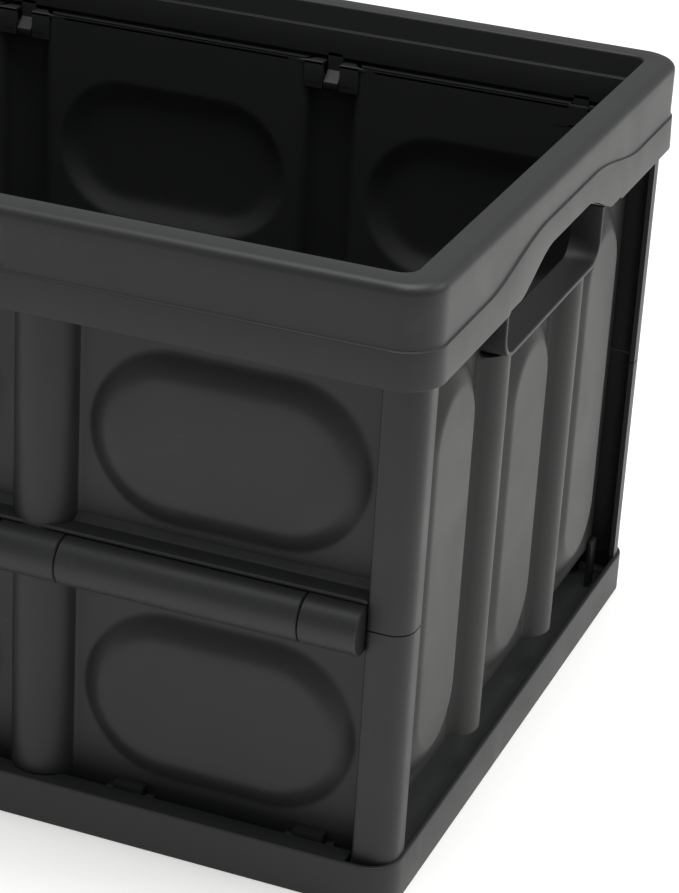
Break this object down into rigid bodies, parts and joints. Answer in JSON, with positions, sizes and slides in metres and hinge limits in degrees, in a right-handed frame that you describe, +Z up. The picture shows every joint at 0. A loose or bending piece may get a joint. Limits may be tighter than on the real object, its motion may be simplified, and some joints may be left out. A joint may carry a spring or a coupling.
{
  "type": "collapsible storage crate",
  "caption": "Open-topped folding crate with a tray base, hinged half-height long sides, full-height end panels with hand openings and a deep top frame.",
  "frame": {"origin": "middle of the underside of the base tray", "axes": "+X along the length, +Y across the width from the front long side to the back, +Z up"},
  "size_m": [0.522, 0.358, 0.285],
  "materials": {
    "base_plastic": "satin moulded polypropylene",
    "frame_plastic": "satin moulded polypropylene",
    "side_plastic": "satin moulded polypropylene",
    "end_plastic": "satin moulded polypropylene",
    "rod_steel": "drawn steel wire with a black oxide finish"
  },
  "bodies": {
    "crate_body": {"base_tray": "base_plastic", "top_frame": "frame_plastic", "front_lower_panel": "side_plastic", "front_upper_panel": "side_plastic", "back_lower_panel": "side_plastic", "back_upper_panel": "side_plastic", "front_mid_rod": "rod_steel", "front_base_rod": "rod_steel", "front_frame_rod": "rod_steel", "back_mid_rod": "rod_steel", "back_base_rod": "rod_steel", "back_frame_rod": "rod_steel", "left_end_rod": "rod_steel", "right_end_rod": "rod_steel"},
    "left_end": {"left_end_panel": "end_plastic"},
    "right_end": {"right_end_panel": "end_plastic"}
  },
  "joints": [
    {"name": "left_end_swing", "type": "hinge", "parent": "crate_body", "child": "left_end", "pos_m": [-0.242, 0, 0.266], "axis": [0, -1, 0], "range_deg": [0, 90]},
    {"name": "right_end_swing", "type": "hinge", "parent": "crate_body", "child": "right_end", "pos_m": [0.242, 0, 0.266], "axis": [0, 1, 0], "range_deg": [0, 90]}
  ]
}
